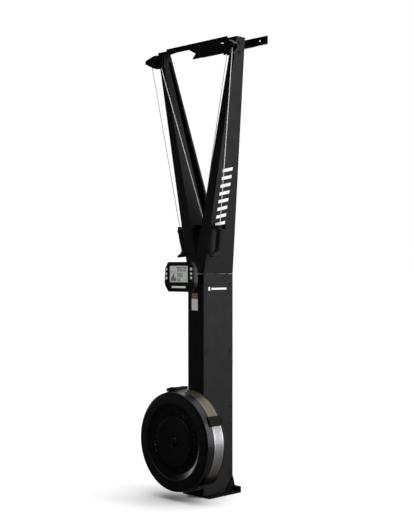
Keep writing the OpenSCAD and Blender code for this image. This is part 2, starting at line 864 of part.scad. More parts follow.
// One elastic cord per drum, hung from the flange at the column's top
module return_cords() {
  ferrule_h = 18;
  top = seam_z - 1 - flange_t;
  color("#6a2b2b") for (end = [[-return_r, front_drum_y], [return_r, rear_drum_y]])
    translate([end[0], end[1] + return_offset, 0]) {
      translate([0, 0, fan_z]) cylinder(r = return_d/2, h = top - fan_z - ferrule_h + 1);
      translate([0, 0, top - ferrule_h]) cylinder(r = 6, h = ferrule_h);
    }
}

// ---------------------------------------------------------------- handle cords

outward = [cos(top_turn), sin(top_turn), 0];
top_centre = [top_x, top_y, top_z];
handle_top = [136, col_front + 23, 1267];

function on_top_pulley(a) = top_centre + top_path_r*(cos(a)*outward + [0, 0, sin(a)]);
function top_plane(p) = [(p - top_centre)*outward, p[2] - top_z];
function bearing_angle(p) = atan2(top_plane(p)[1], top_plane(p)[0]);
function tangent_gap(p) = acos(top_path_r/norm(top_plane(p)));

guide_slope = atan((top_x - top_path_r + guide_path_r)/(top_z - guide_z));
function on_guide(a, y) = [guide_path_r*cos(a), y, guide_z + guide_path_r*sin(a)];

outer_angle = bearing_angle(handle_top) + tangent_gap(handle_top);

// The right handle's cord: over the top pulley, across to the guide pulley, down to its drum
function drive_route(cord_y, drum_y) =
  let (meet = on_guide(180 - guide_slope, cord_y),
       inner_angle = bearing_angle(meet) - tangent_gap(meet) + 360)
  concat([for (i = [0:12]) on_top_pulley(outer_angle + (inner_angle - outer_angle)*i/12)],
         [for (i = [0:3]) on_guide(180 - guide_slope + guide_slope*i/3, cord_y)],
         [[-guide_path_r, drum_y, fan_z]]);

module drive_cords() {
  color("#c8c8c6") {
    tube(drive_route(rear_cord_y, rear_drum_cord_y), cord_d/2);
    mirror([1, 0, 0]) tube(drive_route(front_cord_y, front_drum_cord_y), cord_d/2);
  }
}

// The free stretch of cord between a top pulley and its handle
cord_gap = 3;
cord_top = on_top_pulley(outer_angle);
cord_dir = unit(cord_top - handle_top);

module handle_cord() {
  tube([cord_top - cord_gap*cord_dir, handle_top + 1.5*cord_dir], cord_d/2);
}

module right_handle_cord() { color("#c8c8c6") handle_cord(); }
module left_handle_cord() { color("#c8c8c6") mirror([1, 0, 0]) handle_cord(); }

// ---------------------------------------------------------------- handles

grip_l = 145;
grip_r = 15;
handle_in = 11.2;
handle_back = 5;
foot_t = 10;
foot_r = 18;
foot_tip_r = 13;
foot_reach = 36;
toe_w = 18;
toe_h = 26;

module grip() {
  translate(handle_top) rotate([handle_back, handle_in, 0]) {
    rotate_extrude() polygon([
      [0, 0], [7, 0], [8, -8], [8, -12], [15, -15], [16, -19], [15, -23], [13.5, -30],
      [14.5, -60], [grip_r, -85], [14, -112], [15, -128], [17, -grip_l + 10], [0, -grip_l + 10]]);
    translate([0, 0, -grip_l]) linear_extrude(foot_t) {
      circle(r = foot_r);
      translate([0, -foot_reach]) circle(r = foot_tip_r);
      translate([-foot_tip_r, -foot_reach]) square([2*foot_tip_r, foot_reach]);
    }
    translate([-toe_w/2, 0, -grip_l + foot_t]) rotate([90, 0, 90]) linear_extrude(toe_w)
      polygon([[0, -eps], [0, toe_h], [-foot_r + 4, toe_h - 10], [-foot_reach - 4, -eps]]);
  }
}

module right_grip() { color("#151516") grip(); }
module left_grip() { color("#151516") mirror([1, 0, 0]) grip(); }

holder_z = 1259;
holder_h = 18;
holder_r = 24;
holder_t = 4;
holder_x = handle_top[0] - (handle_top[2] - holder_z)*tan(handle_in);
holder_y = handle_top[1] + (handle_top[2] - holder_z)*tan(handle_back);

// An open saddle on a stub beside each arm, where the handle rests
module handle_holders() {
  low = holder_z - holder_h/2;
  high = holder_z + holder_h/2;
  color("#121213") both_sides() {
    difference() {
      union() {
        translate([holder_x, holder_y, low]) cylinder(r = holder_r + holder_t, h = holder_h);
        translate([0, holder_y + 40, 0]) rotate([90, 0, 0]) linear_extrude(38)
          polygon([[outer_x(low), low], [holder_x - holder_r + 8, low],
                   [holder_x - holder_r + 8, high], [outer_x(high), high]]);
      }
      translate([holder_x, holder_y, low - 1]) cylinder(r = holder_r, h = holder_h + 2);
      translate([holder_x, holder_y, low - 1]) rotate([0, 0, 20])
        translate([-70, -140, 0]) cube([140, 140, holder_h + 2]);
      translate([0, -600, 0]) rotate([90, 0, 0]) translate([0, 0, -1200]) linear_extrude(1200)
        polygon([[0, low - 5], [outer_x(low - 5), low - 5],
                 [outer_x(high + 5), high + 5], [0, high + 5]]);
    }
  }
}

// ---------------------------------------------------------------- console

console_face_y = col_front - 111;
console_back_y = console_face_y + console_d;
split_y = console_face_y + 14;
pin_y = console_back_y + 20;
pin_r = 4;
lug_t = 6;
lug_x = 12;
lug_r = 14;
screen_w = 122;
screen_low = 1004;
screen_high = 1080;
screen_t = 3;
corner_w = 22;
corner_h = 26;
chin_w = 24;
chin_h = 42;
side_in = 4;

// The console's outline seen from the front: a rectangle with cut corners
module console_outline(inset) {
  w = console_w/2 - inset;
  h = console_h/2 - inset;
  polygon([[-w, -h + chin_h], [-w + side_in, h - corner_h], [-w + corner_w, h],
           [w - corner_w, h], [w - side_in, h - corner_h], [w, -h + chin_h],
           [w - side_in, -h + corner_h], [w - chin_w, -h], [-w + chin_w, -h],
           [-w + side_in, -h + corner_h]]);
}

module console_slab(inset, y_low, y_high) {
  translate([0, y_high, console_z]) rotate([90, 0, 0]) linear_extrude(y_high - y_low)
    console_outline(inset);
}

module console_back() {
  color("#101011") difference() {
    union() {
      difference() {
        union() {
          console_slab(0, split_y, console_back_y - 12);
          console_slab(8, console_back_y - 12, console_back_y);
        }
        console_slab(3, split_y - 1, console_back_y - 15);
        console_slab(11, split_y - 1, console_back_y - 3);
      }
      both_sides() translate([lug_x, console_back_y, console_z]) {
        translate([0, 0, -lug_r]) cube([lug_t, pin_y - console_back_y, 2*lug_r]);
        translate([0, pin_y - console_back_y, 0]) x_cylinder(lug_r, lug_t);
      }
    }
    translate([-60, pin_y, console_z]) x_cylinder(pin_r, 120);
  }
}

button_r = 6.5;
button_gap = 0.3;
button_l = 9;
button_proud = 2;
button_collar = 1;
right_button_zs = [1065, 1044, 1025];
left_button_zs = [1065, 1044, 1023];
button_x = 83.7;
button_seats = [for (z = right_button_zs) [button_x, z], for (z = left_button_zs) [-button_x, z]];

module console_front() {
  color("#0e0e0f") difference() {
    union() {
      difference() {
        console_slab(0, console_face_y + 4, split_y);
        console_slab(3, console_face_y + 4 - eps, split_y + 1);
      }
      console_slab(2.5, console_face_y, console_face_y + 4 + eps);
    }
    box([-screen_w/2, console_face_y - 1, screen_low], [screen_w/2, split_y + 1, screen_high]);
    for (seat = button_seats)
      translate([seat[0], console_face_y - 1, seat[1]]) y_cylinder(button_r + button_gap, 30);
  }
}

module console_screen() {
  color("#b4b6b4")
    box([-screen_w/2, console_face_y + 1, screen_low], [screen_w/2, console_face_y + 1 + screen_t,
        screen_high]);
}

module button(seat) {
  color("#c8c8c8") translate([seat[0], console_face_y - button_proud, seat[1]]) {
    y_cylinder(button_r, button_l);
    translate([0, button_proud + 4 + 1.5, 0]) y_cylinder(button_r + button_collar, 2);
  }
}

bracket_foot = 26;
bracket_foot_t = 4;
bracket_low = 34;
bracket_lug_x = 5.5;
bracket_lug_r = 12;
pin_half = 25;
pin_head_r = 7;
pin_head_t = 5;

// Two lugs on a foot reach out from the column to the console's pin
module console_bracket() {
  foot_y = col_front - bracket_foot_t;
  color("#18181a") difference() {
    union() {
      box([-bracket_foot, foot_y, console_z - bracket_low],
          [bracket_foot, col_front, console_z + bracket_lug_r]);
      both_sides() {
        box([bracket_lug_x, pin_y, console_z - lug_r], [bracket_lug_x + lug_t, foot_y,
            console_z + bracket_lug_r]);
        translate([bracket_lug_x, pin_y, console_z]) x_cylinder(bracket_lug_r, lug_t);
      }
    }
    translate([-60, pin_y, console_z]) x_cylinder(pin_r + running_gap, 120);
  }
}

module console_pin() {
  color("#77777a") {
    translate([-pin_half, pin_y, console_z]) {
      x_cylinder(pin_r, 2*pin_half);
      x_cylinder(pin_head_r, pin_head_t);
    }
    translate([pin_half - pin_head_t, pin_y, console_z]) x_cylinder(pin_head_r, pin_head_t);
  }
}

module right_button_1() { button(button_seats[0]); }
module right_button_2() { button(button_seats[1]); }
module right_button_3() { button(button_seats[2]); }
module left_button_1() { button(button_seats[3]); }
module left_button_2() { button(button_seats[4]); }
module left_button_3() { button(button_seats[5]); }

base_plate();
base_gussets();
levelling_screws();
left_side_plate();
right_side_plate();
front_cover();
rear_cover();
column_screws();
top_flange();
frame_bolts();
left_arm();
right_arm();
top_plate();
arm_bolts();
wall_bar();
wall_bar_bolts();
label_plate();
guide_plates();
guide_axle();
front_guide_pulley();
rear_guide_pulley();
left_pulley_housing();
right_pulley_housing();
top_pulley_axles();
left_top_pulley();
right_top_pulley();
fan_rear_cover();
perforated_band();
fan_front_cover();
fan_centre_disc();
band_clips();
clip_screws();
flywheel();
fan_blades();
axle();
bearing_housing();
bearing_plate();
bearings();
left_drum();
right_drum();
left_clutch();
right_clutch();
return_cords();
drive_cords();
left_handle_cord();
right_handle_cord();
left_grip();
right_grip();
handle_holders();
console_bracket();
console_pin();
console_back();
console_front();
console_screen();
right_button_1();
right_button_2();
right_button_3();
left_button_1();
left_button_2();
left_button_3();
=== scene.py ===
import json
import math

import bmesh
import bpy
from mathutils import Matrix, Vector


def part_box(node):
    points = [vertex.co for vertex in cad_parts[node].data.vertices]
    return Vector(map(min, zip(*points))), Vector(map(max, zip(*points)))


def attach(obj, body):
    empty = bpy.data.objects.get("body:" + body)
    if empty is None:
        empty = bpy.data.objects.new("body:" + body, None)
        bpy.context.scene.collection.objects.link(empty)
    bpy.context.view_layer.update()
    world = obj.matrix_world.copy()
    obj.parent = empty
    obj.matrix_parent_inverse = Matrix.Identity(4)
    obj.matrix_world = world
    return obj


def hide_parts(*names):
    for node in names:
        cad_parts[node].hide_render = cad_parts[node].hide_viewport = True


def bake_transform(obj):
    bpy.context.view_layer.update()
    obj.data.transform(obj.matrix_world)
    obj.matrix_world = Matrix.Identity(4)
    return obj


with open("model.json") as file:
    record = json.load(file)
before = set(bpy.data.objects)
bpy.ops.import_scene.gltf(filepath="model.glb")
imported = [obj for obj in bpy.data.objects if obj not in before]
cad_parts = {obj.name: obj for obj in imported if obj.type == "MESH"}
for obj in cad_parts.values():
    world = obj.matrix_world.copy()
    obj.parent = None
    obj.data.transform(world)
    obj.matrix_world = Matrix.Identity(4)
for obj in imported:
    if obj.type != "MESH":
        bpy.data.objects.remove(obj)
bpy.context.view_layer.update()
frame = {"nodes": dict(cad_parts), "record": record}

# An upright ski trainer. Metres; +X is the machine's right, -Y faces the user, +Z is up.

NODES = frame["nodes"]
RECORD = frame["record"]
SIDES = ("left", "right")


# ------------------------------------------------------------------ camera and light

CAMERA_PLACE = (3.490, -3.472, 1.071)
CAMERA_AZIMUTH = 45.43
LENS_MM = 70.4
SENSOR_MM = 36.0
SHIFT_Y = 0.0062
CLIP_END = 200.0

BACKDROP = (1.0, 1.0, 1.0)
OVERHEAD = 3.4
OVERHEAD_FROM = (0.1, 0.15, 1)
OVERHEAD_SPAN = (0.5, 1.0)
SIDE_GLOW = 0.55
SIDE_GLOW_FROM = (0.8, 0.6, 0.1)
SIDE_GLOW_SPAN = (0.1, 0.95)
AMBIENT = 0.04

FLOOR_RADIUS = 60
FLOOR_SIDES = 96

# Each light: name, place, target, width and height, watts
LIGHTS = [
    ("right_side", (3.6, 2.0, 1.5), (0, 0, 1.0), (2.0, 3.0), 122),
    ("left_behind", (-3.0, 3.6, 3.4), (0, 0, 1.1), (1.6, 2.6), 30),
    ("left_edge", (-3.6, -0.5, 0.45), (0, -0.24, 0.3), (0.5, 0.9), 17),
    ("front_sheen", (-2.2, -2.6, 0.4), (0, -0.24, 0.27), (0.7, 0.5), 0.6),
]


def make_camera():
    data = bpy.data.cameras.new("camera")
    data.lens = LENS_MM
    data.sensor_width = SENSOR_MM
    data.shift_y = SHIFT_Y
    data.clip_end = CLIP_END
    camera = bpy.data.objects.new("camera", data)
    camera.location = CAMERA_PLACE
    camera.rotation_euler = (math.radians(90), 0, math.radians(CAMERA_AZIMUTH))
    bpy.context.collection.objects.link(camera)
    bpy.context.scene.camera = camera


def area_light(name, place, target, size, power):
    data = bpy.data.lights.new(name, "AREA")
    data.shape = "RECTANGLE"
    data.size, data.size_y = size
    data.energy = power
    light = bpy.data.objects.new(name, data)
    light.location = place
    aim = Vector(target) - Vector(place)
    light.rotation_euler = aim.to_track_quat("-Z", "Y").to_euler()
    bpy.context.collection.objects.link(light)


def make_world():
    """A white backdrop for the camera; light from overhead and from behind on the right."""
    world = bpy.data.worlds.new("studio")
    bpy.context.scene.world = world
    world.use_nodes = True
    tree = world.node_tree
    tree.nodes.clear()

    def node(kind):
        return tree.nodes.new("ShaderNode" + kind)

    def wire(a, b):
        tree.links.new(a, b)

    def combined(operation, a, b):
        """One maths step; b is a socket or a number."""
        step = node("Math")
        step.operation = operation
        wire(a, step.inputs[0])
        if isinstance(b, (int, float)):
            step.inputs[1].default_value = b
        else:
            wire(b, step.inputs[1])
        return step.outputs[0]

    output, coordinates = node("OutputWorld"), node("TexCoord")
    seen, glow = node("Background"), node("Background")
    path, mix = node("LightPath"), node("MixShader")
    seen.inputs["Color"].default_value = (*BACKDROP, 1)
    seen.inputs["Strength"].default_value = 1.0

    def share(direction, span):
        """0 to 1 as the view turns towards a direction."""
        dot, ramp = node("VectorMath"), node("MapRange")
        dot.operation = "DOT_PRODUCT"
        dot.inputs[1].default_value = Vector(direction).normalized()
        wire(coordinates.outputs["Generated"], dot.inputs[0])
        wire(dot.outputs["Value"], ramp.inputs["Value"])
        ramp.inputs["From Min"].default_value, ramp.inputs["From Max"].default_value = span
        ramp.interpolation_type = "SMOOTHSTEP"
        return ramp.outputs["Result"]

    above = combined("MULTIPLY", share(OVERHEAD_FROM, OVERHEAD_SPAN), OVERHEAD)
    behind_right = combined("MULTIPLY", share(SIDE_GLOW_FROM, SIDE_GLOW_SPAN), SIDE_GLOW)
    strength = combined("ADD", combined("ADD", above, behind_right), AMBIENT)
    wire(strength, glow.inputs["Strength"])
    wire(path.outputs["Is Camera Ray"], mix.inputs["Fac"])
    wire(glow.outputs[0], mix.inputs[1])
    wire(seen.outputs[0], mix.inputs[2])
    wire(mix.outputs[0], output.inputs["Surface"])


def make_stage():
    bpy.ops.mesh.primitive_circle_add(vertices=FLOOR_SIDES, radius=FLOOR_RADIUS,
                                      fill_type="NGON")
    floor = bpy.context.object
    floor.name = "floor"
    floor.data.materials.append(floor_material())
    floor.visible_glossy = False
    make_world()
    for light in LIGHTS:
        area_light(*light)
    bpy.context.scene.view_settings.view_transform = "Standard"


# ------------------------------------------------------------------ materials

# The colour sockets of a mix node
MIX_A, MIX_B, MIX_RESULT = 6, 7, 2


class Look:
    """A principled material and short ways to wire textures into it."""

    def __init__(self, name, colour, roughness, metallic=0.0, specular=0.5):
        self.material = bpy.data.materials.new(name)
        self.material.use_nodes = True
        self.tree = self.material.node_tree
        self.shader = self.tree.nodes["Principled BSDF"]
        self.colour = colour
        self.roughness = roughness
        self.shader.inputs["Base Color"].default_value = (*colour, 1)
        self.shader.inputs["Roughness"].default_value = roughness
        self.shader.inputs["Metallic"].default_value = metallic
        self.shader.inputs["Specular IOR Level"].default_value = specular
        self.height = None

    def node(self, kind, **values):
        made = self.tree.nodes.new("ShaderNode" + kind)
        for key, value in values.items():
            setattr(made, key, value)
        return made

    def link(self, a, b):
        self.tree.links.new(a, b)

    def place(self, stretch=(1, 1, 1)):
        """Object coordinates in metres, stretched along each axis."""
        coordinates = self.node("TexCoord")
        mapping = self.node("Mapping")
        mapping.inputs["Scale"].default_value = stretch
        self.link(coordinates.outputs["Object"], mapping.inputs["Vector"])
        return mapping.outputs["Vector"]

    def noise(self, scale, detail=3.0, stretch=(1, 1, 1)):
        """Noise over the object, from 0 to 1; scale is in cells per metre."""
        noise = self.node("TexNoise")
        noise.inputs["Scale"].default_value = scale
        noise.inputs["Detail"].default_value = detail
        self.link(self.place(stretch), noise.inputs["Vector"])
        return noise.outputs["Fac"]

    def ramp(self, value, low, high, low_at=0.3, high_at=0.7):
        """Turns a 0..1 value into a value between low and high."""
        span = self.node("MapRange")
        span.inputs["From Min"].default_value = low_at
        span.inputs["From Max"].default_value = high_at
        span.inputs["To Min"].default_value = low
        span.inputs["To Max"].default_value = high
        self.link(value, span.inputs["Value"])
        return span.outputs["Result"]

    def mixed(self, first, second, factor=1.0, blend_type="MIX"):
        """Mixes two colours; each colour, and the factor, is a value or a socket."""
        mix = self.node("Mix", data_type="RGBA", blend_type=blend_type)
        for socket, value in ((mix.inputs[MIX_A], first), (mix.inputs[MIX_B], second)):
            if isinstance(value, tuple):
                socket.default_value = (*value, 1)
            else:
                self.link(value, socket)
        if isinstance(factor, float):
            mix.inputs["Factor"].default_value = factor
        else:
            self.link(factor, mix.inputs["Factor"])
        return mix.outputs[MIX_RESULT]

    def height_up(self):
        """The height of a point on the object."""
        place = self.node("SeparateXYZ")
        self.link(self.place(), place.inputs["Vector"])
        return place.outputs["Z"]

    def shade_by_height(self, stops):
        """A colour that changes up the object: stops are (height, colour), lowest first."""
        height, shade = self.height_up(), stops[0][1]
        for (low, _), (high, colour) in zip(stops, stops[1:]):
            shade = self.mixed(shade, colour, self.ramp(height, 0.0, 1.0, low, high))
        return shade

    def paint(self, colour):
        self.link(colour, self.shader.inputs["Base Color"])

    def tint(self, value, darker, lighter):
        """Varies the base colour between darker and lighter times its own value."""
        self.paint(self.mixed(tuple(c * darker for c in self.colour),
                              tuple(c * lighter for c in self.colour), value))

    def vary_roughness(self, value, spread):
        rough = self.ramp(value, self.roughness - spread, self.roughness + spread)
        self.link(rough, self.shader.inputs["Roughness"])

    def bump(self, value, distance, strength=1.0):
        bump = self.node("Bump")
        bump.inputs["Strength"].default_value = strength
        bump.inputs["Distance"].default_value = distance
        self.link(value, bump.inputs["Height"])
        if self.height:
            self.link(self.height, bump.inputs["Normal"])
        self.height = bump.outputs["Normal"]
        self.link(self.height, self.shader.inputs["Normal"])

    def round_edges(self, radius):
        """Softens sharp sheet-metal edges, as a paint film does."""
        bevel = self.node("Bevel", samples=4)
        bevel.inputs["Radius"].default_value = radius
        self.height = bevel.outputs["Normal"]
        self.link(self.height, self.shader.inputs["Normal"])


def powder_coat(name, colour, roughness, specular=0.35):
    """Sprayed and baked paint: soft edges over a fine orange-peel grain."""
    look = Look(name, colour, roughness, specular=specular)
    look.round_edges(radius=0.0012)
    look.tint(look.noise(6.0), darker=0.88, lighter=1.14)
    look.vary_roughness(look.noise(24.0), spread=0.05)
    look.bump(look.noise(900.0, detail=2.0), distance=0.00012, strength=0.5)
    look.bump(look.noise(2600.0, detail=1.0), distance=0.00005, strength=0.5)
    return look.material


def moulded_plastic(name, colour, roughness, grain=1400.0, specular=0.4):
    look = Look(name, colour, roughness, specular=specular)
    look.round_edges(radius=0.0008)
    look.tint(look.noise(9.0), darker=0.86, lighter=1.15)
    look.vary_roughness(look.noise(30.0), spread=0.06)
    look.bump(look.noise(grain), distance=0.00008, strength=0.6)
    return look.material


BRUSHING_STRETCH = (1, 40, 1)


def brushed_metal(name, colour, roughness):
    look = Look(name, colour, roughness, metallic=1.0)
    look.tint(look.noise(12.0), darker=0.86, lighter=1.08)
    brushing = look.noise(60.0, detail=4.0, stretch=BRUSHING_STRETCH)
    look.vary_roughness(brushing, spread=0.09)
    look.bump(brushing, distance=0.00006, strength=0.5)
    return look.material


def oxide_steel(name, colour, roughness):
    """Blackened steel: dark, with a worn, slightly lighter sheen."""
    look = Look(name, colour, roughness, specular=0.08)
    look.round_edges(radius=0.0006)
    look.tint(look.noise(180.0, detail=4.0), darker=0.7, lighter=1.9)
    look.vary_roughness(look.noise(90.0), spread=0.08)
    look.bump(look.noise(1500.0, detail=2.0), distance=0.00005, strength=0.5)
    return look.material


# Height above the floor and colour, lowest first: painted shade and highlight down the ring,
# darker at top and bottom and palest in the middle where the side light falls
BAND_PAINTED_SHADE_STOPS = [(0.14, (0.25, 0.22, 0.2)), (0.24, (0.34, 0.34, 0.355)),
              (0.31, (0.37, 0.37, 0.385)), (0.4, (0.17, 0.155, 0.11))]
BAND_BLOTCH = (0.84, 0.84, 0.84)


def band_steel(name, colour, roughness):
    """Pale sheet steel with painted shade and highlight by height: dark and warm at the top,
    whitest in the middle, browner low down.
    """
    look = Look(name, colour, roughness, metallic=1.0)
    # painted shade and highlight: the colour changes with height as light falls round the ring
    shade = look.shade_by_height(BAND_PAINTED_SHADE_STOPS)
    blotch = look.mixed(BAND_BLOTCH, (1, 1, 1), look.noise(9.0, detail=2.0))
    look.paint(look.mixed(shade, blotch, blend_type="MULTIPLY"))
    look.vary_roughness(look.noise(40.0, detail=4.0), spread=0.08)
    look.bump(look.noise(500.0, detail=2.0), distance=0.00004, strength=0.4)
    return look.material


def rubber(name, colour):
    look = Look(name, colour, roughness=0.62, specular=0.2)
    look.tint(look.noise(40.0), darker=0.8, lighter=1.25)
    look.vary_roughness(look.noise(70.0), spread=0.07)
    look.bump(look.noise(700.0, detail=4.0), distance=0.0002, strength=0.7)
    return look.material


def braid(name, colour):
    """A woven cord sheath: diagonal strands, slightly uneven."""
    look = Look(name, colour, roughness=0.65, specular=0.3)
    weave = look.node("TexWave", wave_type="BANDS", bands_direction="DIAGONAL")
    weave.inputs["Scale"].default_value = 260.0
    weave.inputs["Distortion"].default_value = 1.5
    look.link(look.place(), weave.inputs["Vector"])
    look.tint(weave.outputs["Fac"], darker=0.7, lighter=1.15)
    look.bump(weave.outputs["Fac"], distance=0.0003, strength=0.6)
    return look.material


def floor_material():
    look = Look("pale_floor", (0.86, 0.86, 0.86), roughness=0.9, specular=0.1)
    look.tint(look.noise(0.6), darker=0.985, lighter=1.0)
    return look.material


def screen_material():
    look = Look("screen_panel", (0.46, 0.48, 0.45), roughness=0.32)
    look.tint(look.noise(14.0), darker=0.94, lighter=1.05)
    look.bump(look.noise(2200.0, detail=1.0), distance=0.00002, strength=0.4)
    return look.material


# The label's brown band starts at this share of its height, over a short blend
LABEL_BROWN = (0.12, 0.075, 0.05)
LABEL_PALE = (0.5, 0.48, 0.46)
LABEL_SPLIT = 0.66
LABEL_BLEND = 0.0006


def label_material(low, high):
    """A plain plate: a brown band at the top, pale below."""
    look = Look("label_print", (0.52, 0.5, 0.48), roughness=0.5)
    split = low.z + (high.z - low.z) * LABEL_SPLIT
    step = look.ramp(look.height_up(), 0.0, 1.0, split - LABEL_BLEND, split + LABEL_BLEND)
    look.paint(look.mixed(LABEL_PALE, LABEL_BROWN, step))
    look.bump(look.noise(1200.0, detail=2.0), distance=0.00003, strength=0.5)
    return look.material


LOOKS = {
    "black_steel": powder_coat("black_steel", (0.0012, 0.0012, 0.0013), 0.5, specular=0.07),
    "column_paint": powder_coat("column_paint", (0.0036, 0.0036, 0.0038), 0.5, specular=0.14),
    "dark_screws": oxide_steel("dark_screws", (0.0012, 0.0012, 0.0013), 0.5),
    "bright_steel": brushed_metal("bright_steel", (0.62, 0.62, 0.63), 0.28),
    "raw_steel": brushed_metal("raw_steel", (0.38, 0.38, 0.39), 0.38),
    "cast_housing": powder_coat("cast_housing", (0.1, 0.1, 0.105), 0.6),
    "alloy": brushed_metal("alloy", (0.66, 0.66, 0.68), 0.3),
    "black_plastic": moulded_plastic("black_plastic", (0.0018, 0.0018, 0.002), 0.33,
                                     specular=0.22),
    "gloss_black": moulded_plastic("gloss_black", (0.0016, 0.0016, 0.0018), 0.36,
                                   grain=2000.0, specular=0.14),
    "pulley_nylon": moulded_plastic("pulley_nylon", (0.03, 0.03, 0.031), 0.5),
    "blade_plastic": moulded_plastic("blade_plastic", (0.03, 0.03, 0.032), 0.5),
    "band_steel": band_steel("band_steel", (0.62, 0.59, 0.53), 0.4),
    "cord": braid("cord", (0.6, 0.6, 0.58)),
    "elastic": braid("elastic", (0.12, 0.03, 0.03)),
    "grip_rubber": rubber("grip_rubber", (0.003, 0.003, 0.0033)),
    "screen": screen_material(),
    "label": label_material(*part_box("label_plate")),
    "button_grey": moulded_plastic("button_grey", (0.5, 0.5, 0.5), 0.45),
}


def dress_cad_nodes():
    for part in RECORD["subparts"]:
        thing = NODES[part["node"]]
        thing.data.materials.clear()
        thing.data.materials.append(LOOKS[part["material_slot"]])


# ------------------------------------------------------------------ mesh helpers

MERGE_DISTANCE = 1e-6
BEVEL_STEPS = 3


def piece(name, mesh_builder, slot, body, smooth=True):
    """Makes an object from a bmesh builder, gives it a finish and hangs it on a body."""
    mesh = bpy.data.meshes.new(name)
    work = bmesh.new()
    mesh_builder(work)
    bmesh.ops.remove_doubles(work, verts=work.verts, dist=MERGE_DISTANCE)
    bmesh.ops.recalc_face_normals(work, faces=work.faces)
    work.to_mesh(mesh)
    work.free()
    made = bpy.data.objects.new(name, mesh)
    bpy.context.collection.objects.link(made)
    if smooth:
        mesh.shade_smooth()
    if slot:
        mesh.materials.append(LOOKS[slot])
    if body:
        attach(made, body)
    return made


def apply_modifiers(thing):
    """Replaces the object's mesh with its evaluated one."""
    graph = bpy.context.evaluated_depsgraph_get()
    mesh = bpy.data.meshes.new_from_object(thing.evaluated_get(graph))
    thing.modifiers.clear()
    thing.data = mesh


def grid_faces(work, rings):
    """Joins closed rings of points into a skin; returns the rings of vertices."""
    made = [[work.verts.new(point) for point in ring] for ring in rings]
    for lower, upper in zip(made, made[1:]):
        for i in range(len(lower)):
            j = (i + 1) % len(lower)
            work.faces.new((lower[i], lower[j], upper[j], upper[i]))
    return made


def closed_skin(work, rings):
    """A skin over rings of points, with a flat face on each end."""
    made = grid_faces(work, rings)
    work.faces.new(list(reversed(made[0])))
    work.faces.new(made[-1])


def circle(centre, across, up, radius, count):
    turn = 2 * math.pi / count
    return [centre + radius * (math.cos(i * turn) * across + math.sin(i * turn) * up)
            for i in range(count)]


def tube(work, route, radius, sides):
    """A round tube along a route of points, with flat ends."""
    rings = []
    for i, point in enumerate(route):
        ahead = route[min(i + 1, len(route) - 1)] - route[max(i - 1, 0)]
        ahead.normalize()
        across = ahead.cross(Vector((0, 1, 0))).normalized()
        rings.append(circle(point, across, ahead.cross(across), radius, sides))
    closed_skin(work, rings)


def lathe_rings(profile, place, sides):
    """Rings of a turned shape. profile is [(radius, height)], place maps local to world."""
    return [[place @ Vector((r * math.cos(a), r * math.sin(a), h))
             for a in (2 * math.pi * i / sides for i in range(sides))]
            for r, h in profile]


def slab(work, low, high):
    """A closed box between two corners."""
    centre, size = (low + high) / 2, high - low
    for vert in bmesh.ops.create_cube(work, size=1.0)["verts"]:
        vert.co = centre + Vector((vert.co.x * size.x, vert.co.y * size.y, vert.co.z * size.z))


def soft_slabs(name, boxes, slot, body, bevel):
    """Boxes with rounded edges, as one piece."""
    def build(work):
        for low, high in boxes:
            slab(work, Vector(low), Vector(high))

    made = piece(name, build, slot, body, smooth=False)
    edges = made.modifiers.new("edges", "BEVEL")
    edges.width = bevel
    edges.segments = BEVEL_STEPS
    apply_modifiers(made)
    return made


# ------------------------------------------------------------------ perforated band

HOLE_PITCH = 0.0048
HOLE_SHARE = 0.36
BAND_SHEET = 0.0012


def perforated_band():
    """A sheet ring of square cells, each with an eight-sided hole; the edge rows are solid."""
    low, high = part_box("perforated_band")
    centre = (low + high) / 2
    radius = (high.x - low.x) / 2
    around = round(2 * math.pi * radius / HOLE_PITCH)
    across = round((high.y - low.y) / HOLE_PITCH)
    step_y = (high.y - low.y) / across

    def on_band(u, v):
        turn = 2 * math.pi * u / around
        return Vector((centre.x + radius * math.cos(turn), low.y + v * step_y,
                       centre.z + radius * math.sin(turn)))

    square = [(-0.5, -0.5), (0, -0.5), (0.5, -0.5), (0.5, 0),
              (0.5, 0.5), (0, 0.5), (-0.5, 0.5), (-0.5, 0)]
    octagon = [(a * HOLE_SHARE / math.hypot(a, b), b * HOLE_SHARE / math.hypot(a, b))
               for a, b in square]

    def build(work):
        for u in range(around):
            for v in range(across):
                outline, hole = ([on_band(u + a, v + 0.5 + b) for a, b in shape]
                                 for shape in (square, octagon))
                if v in (0, across - 1):
                    work.faces.new([work.verts.new(point) for point in outline])
                else:
                    grid_faces(work, [outline, hole])

    band = piece("perforated_band_skin", build, "band_steel", "frame", smooth=False)
    sheet = band.modifiers.new("sheet", "SOLIDIFY")
    sheet.thickness = BAND_SHEET
    sheet.offset = -1.0
    apply_modifiers(band)
    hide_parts("perforated_band")


# ------------------------------------------------------------------ cords and handles

CORD_RADIUS = 0.00175
CORD_STEPS = 90
CORD_SIDES = 12
# The CAD cord stops short of its pulley and of the handle; the first gap is closed here
CORD_TOP_GAP = 0.003
CORD_FOOT_GAP = 0.0015
# How far a handle leans about X and about Y
HANDLE_LEAN = (math.radians(5), math.radians(11.2))


def cord_ends(side):
    """The top and bottom of a free cord, from its CAD node's box."""
    low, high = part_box(side + "_handle_cord")
    outer = high.x if side == "right" else low.x
    inner = low.x if side == "right" else high.x
    inset = CORD_RADIUS * (1 if side == "right" else -1)
    top = Vector((outer - inset, low.y + CORD_RADIUS, high.z))
    bottom = Vector((inner + inset, high.y - CORD_RADIUS, low.z))
    return top, bottom


def handle_cord(side):
    """The free cord, from the point where it leaves its pulley to just above the handle."""
    top, bottom = cord_ends(side)
    line = (top - bottom).normalized()
    route_top = top + CORD_TOP_GAP * line
    route = [route_top.lerp(bottom, i / CORD_STEPS) for i in range(CORD_STEPS + 1)]
    cord = piece(side + "_cord_free", lambda work: tube(work, route, CORD_RADIUS, CORD_SIDES),
                 "cord", None)
    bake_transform(cord)
    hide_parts(side + "_handle_cord")


